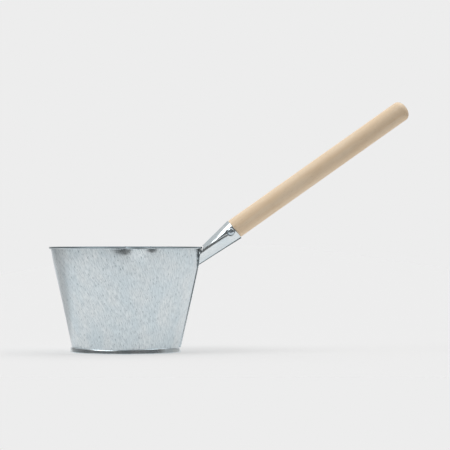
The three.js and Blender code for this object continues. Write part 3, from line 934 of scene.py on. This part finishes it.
screw_place = Matrix.Translation((SCREW_X, head_seat, SCREW_Z)) @ Matrix.Rotation(math.radians(90), 4, "X")
crown_turns = np.radians(np.linspace(0, 90, 18))
crown = np.column_stack([
    HEAD_RADIUS * np.cos(crown_turns) ** 0.8,
    HEAD_EDGE + (HEAD_HEIGHT - HEAD_EDGE) * np.sin(crown_turns)])
crown[-1, 0] = 0
screw_profile = joined(
    line((0, -SCREW_LENGTH), (SHANK_RADIUS, -SHANK_LENGTH), 3),
    line((SHANK_RADIUS, -SHANK_LENGTH), (SHANK_RADIUS, 0), 3),
    line((SHANK_RADIUS, 0), (HEAD_RADIUS * 0.96, 0), 3), crown)
screw = turned_piece("round_head_screw", screw_profile, 64, screw_place, ZINC_PLATE)
for turn in RECESS_TURNS:
    spin = Matrix.Rotation(math.radians(turn), 4, "Z")
    at_top = screw_place @ spin @ Matrix.Translation((0, 0, HEAD_HEIGHT))
    cutter = block(RECESS_SIZE, RECESS_TIP, at_top)
    cut = screw.modifiers.new("cross", "BOOLEAN")
    cut.object = cutter
    cut.operation = "DIFFERENCE"
    cut.solver = "EXACT"
    carved = bpy.data.meshes.new_from_object(screw.evaluated_get(bpy.context.evaluated_depsgraph_get()))
    screw.modifiers.clear()
    screw.data = carved
    bpy.data.objects.remove(cutter)
finish_piece(screw, ["handle_screw"])

# %% [markdown]
# ## The wooden handle
#
# A dowel of pale close-grained hardwood such as beech or birch, sanded and left bare. Its lower end is
# tapered into the socket and its far end is rounded over. The wood is drawn in the handle's own direction:
# growth layers as broad warm bands along it, fine fibres, and the short dark flecks that beech shows.

# %% The pale wood finish
WOOD_LIGHT = "#FBE4C6"
WOOD_WARM = "#F3D5AF"
WOOD_FIBRE = "#D3B48D"
WOOD_FLECK = "#B89770"


# Each pattern of the wood has its grain in metres, the first along the wood, and the detail and roughness of
# its noise: broad growth bands, clouds, fibres and flecks. The fibres and flecks are drawn 0.5 to 0.9 mm
# wide, because finer ones don't show from three metres away.
WOOD_PATTERNS = (
    ((0.14, 0.009, 0.006), 2, 0.5),
    ((0.050, 0.020, 0.020), 2, 0.5),
    ((0.022, 0.0008, 0.0008), 4, 0.65),
    ((0.0045, 0.0005, 0.0009), 0, 0.5))


def pale_wood():
    """Bare sanded wood, with its patterns drawn along the handle from the socket's mouth."""
    material, tree, shader = new_material("sanded_beech")
    place = add(tree, "ShaderNodeTexCoord")
    noises = []
    for grain, detail, roughness in WOOD_PATTERNS:
        along = add(tree, "ShaderNodeMapping", {
            "Vector": place.outputs["Object"], "Location": tuple(MOUTH), "Rotation": (0, -HANDLE_TILT, 0),
            "Scale": grain}, vector_type="TEXTURE")
        noises.append(add(tree, "ShaderNodeTexNoise", {
            "Vector": along, "Scale": 1, "Detail": detail, "Roughness": roughness}))
    bands, clouds, fibres, flecks = noises
    colour = layered(tree, WOOD_LIGHT, (
        (bands, 0.35, 0.70, 0.60, WOOD_WARM),
        (clouds, 0.45, 0.75, 0.45, WOOD_WARM),
        (fibres, 0.48, 0.85, 0.35, WOOD_FIBRE),
        (flecks, 0.72, 0.82, 0.30, WOOD_FLECK)))
    gloss = add(tree, "ShaderNodeMapRange", {
        "Value": fibres, "From Min": 0.3, "From Max": 0.7, "To Min": 0.50, "To Max": 0.64})
    bump = add(tree, "ShaderNodeBump", {"Height": fibres, "Strength": 0.25, "Distance": 0.00008})
    tree.links.new(colour.outputs[2], shader.inputs["Base Color"])
    tree.links.new(gloss.outputs[0], shader.inputs["Roughness"])
    tree.links.new(bump.outputs["Normal"], shader.inputs["Normal"])
    return material


PALE_WOOD = pale_wood()

# %% The handle
DOME = 9.7 * MM
TENON = 28 * MM
# The wood tapers from just outside the mouth to the tenon's radius, and its end is bevelled to the tip's.
TENON_RADIUS, TENON_TIP_RADIUS = 9.5 * MM, 8.5 * MM
BEVEL = 1.5 * MM
dome_turns = np.radians(np.linspace(0, 90, 28))
dome = np.column_stack([
    HANDLE_RADIUS * np.cos(dome_turns) ** 0.9,
    HANDLE_LENGTH - DOME + DOME * np.sin(dome_turns)])
dome[-1, 0] = 0
handle_profile = joined(
    line((0, -TENON), (TENON_TIP_RADIUS, -TENON), 2),
    line((TENON_TIP_RADIUS, -TENON), (TENON_RADIUS, BEVEL - TENON), 2),
    line((TENON_RADIUS, BEVEL - TENON), (HANDLE_RADIUS, BEVEL), 8),
    line((HANDLE_RADIUS, BEVEL), (HANDLE_RADIUS, HANDLE_LENGTH - DOME), 40), dome)
handle_place = Matrix.Translation(MOUTH) @ Matrix.Rotation(math.radians(90) - HANDLE_TILT, 4, "Y")
handle = turned_piece("turned_handle", handle_profile, 128, handle_place, PALE_WOOD)
finish_piece(handle, ["wooden_handle"])

# %% [markdown]
# ## The studio
#
# Metal shows what is round it, so the studio is part of the finish. The scoop stands on pale paper that
# glows a little, so it has hardly any shadow. The paper behind is bright, the room to the left and behind
# the camera is dark, and a broad soft box hangs overhead to the left. The dark room is what draws the thin
# dark lines on the seams, and on the rim together with a line of painted shade along the bead. A grey card
# lies behind the scoop on the left, seen only in reflections, so that the bowl's left edge stands out
# against the bright floor.

# %% The floor
BACKGROUND = "#EDEDED"
FLOOR_GAP = 0.2 * MM
floor_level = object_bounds()[0].z - FLOOR_GAP


def sheet_on_floor(name, x_range, y_range, level, shade, glow):
    """A flat stage sheet in one matt colour that can also glow."""
    material, tree, shader = new_material(name)
    shader.inputs["Base Color"].default_value = (shade, shade, shade, 1)
    shader.inputs["Roughness"].default_value = 1.0
    shader.inputs["Specular IOR Level"].default_value = 0.0
    shader.inputs["Emission Color"].default_value = (1, 1, 1, 1)
    shader.inputs["Emission Strength"].default_value = glow
    (left, right), (front, back) = x_range, y_range
    corners = [(left, front, level), (right, front, level), (right, back, level), (left, back, level)]
    mesh = bpy.data.meshes.new(name)
    mesh.from_pydata(corners, [], [(0, 1, 2, 3)])
    mesh.materials.append(material)
    piece = bpy.data.objects.new(name, mesh)
    bpy.context.scene.collection.objects.link(piece)
    return piece


sheet_on_floor("studio_paper", (-0.95, 1.1), (-0.6, 40), floor_level, shade=0.36, glow=0.448)
card = sheet_on_floor("reflection_card", (-1.5, -0.2), (0.12, 0.8), 1 * MM, shade=0.03, glow=0.46)
for kind in ("camera", "diffuse", "shadow", "transmission"):
    setattr(card, f"visible_{kind}", False)
print("floor at", round(floor_level, 4))

# %% The light all round
# Each patch is a direction, the two cosines from it between which the patch fades, and its brightness.
ROOM = 0.13
PATCHES = (
    ("bright paper behind", (0, 1, 0), 0.80, 0.95, 0.85),
    ("the right side", (1, 0.6, 0.1), 0.72, 0.92, 0.35),
    ("the ceiling", (0, 0, 1), 0.48, 0.70, 1.95),
    ("the dark room above the camera", (0, -1, 0.35), 0.30, 0.76, 0.13),
    ("the dimmer wall behind on the left", (-0.6, 0.5, 0.6), 0.75, 0.95, 0.60),
    ("the soft box", (-0.58, -0.37, 0.73), 0.91, 0.97, 3.6))


def studio_light():
    world = bpy.data.worlds.new("studio")
    bpy.context.scene.world = world
    world.use_nodes = True
    tree = world.node_tree
    towards = add(tree, "ShaderNodeTexCoord")
    light = ROOM
    for label, direction, start, full, brightness in PATCHES:
        unit = tuple(Vector(direction).normalized())
        cosine = add(tree, "ShaderNodeVectorMath", {
            0: towards.outputs["Generated"], 1: unit}, operation="DOT_PRODUCT", label=label)
        share = add(tree, "ShaderNodeMapRange", {
            "Value": cosine.outputs["Value"], "From Min": start, "From Max": full},
            interpolation_type="SMOOTHSTEP")
        light = add(tree, "ShaderNodeMix", {"Factor": share, "A": light, "B": brightness}, data_type="FLOAT")
    light_path = add(tree, "ShaderNodeLightPath")
    seen = add(tree, "ShaderNodeMix", {
        "Factor": light_path.outputs["Is Camera Ray"], "B": linear(BACKGROUND)}, data_type="RGBA")
    tree.links.new(light.outputs[0], seen.inputs[6])
    tree.links.new(seen.outputs[2], tree.nodes["Background"].inputs["Color"])


studio_light()
bpy.context.scene.view_settings.view_transform = "Standard"
